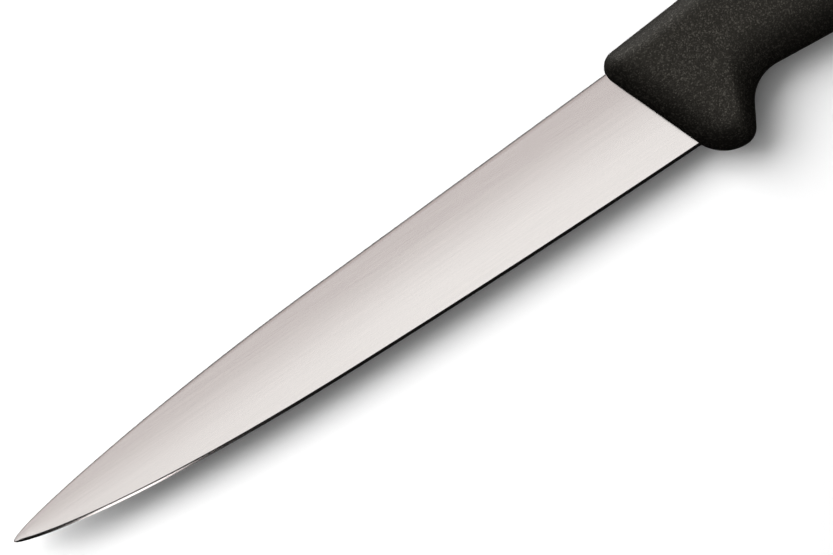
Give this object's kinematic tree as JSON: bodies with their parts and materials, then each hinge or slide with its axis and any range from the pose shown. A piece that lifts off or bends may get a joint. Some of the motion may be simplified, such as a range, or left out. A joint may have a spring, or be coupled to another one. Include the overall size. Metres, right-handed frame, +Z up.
{
  "type": "filleting knife",
  "caption": "Filleting knife: narrow, thin, pointed satin steel blade with its tang moulded into a black grained grip with finger guard, finger notch and hooked butt.",
  "frame": {"origin": "under the middle of the bounding box, on the surface that the knife lies on", "axes": "+X from the tip to the butt, +Y from the cutting edge to the spine, +Z up through the knife's thickness"},
  "size_m": [0.3114, 0.038, 0.019],
  "materials": {
    "blade_steel": "satin, finely brushed along the blade, with a brighter polished edge bevel",
    "core_plastic": "plain moulded",
    "grip_grain": "matt black with a fine moulded grain"
  },
  "bodies": {
    "root": {"blade": "blade_steel", "handle_core": "core_plastic", "grip_skin": "grip_grain"}
  },
  "joints": []
}
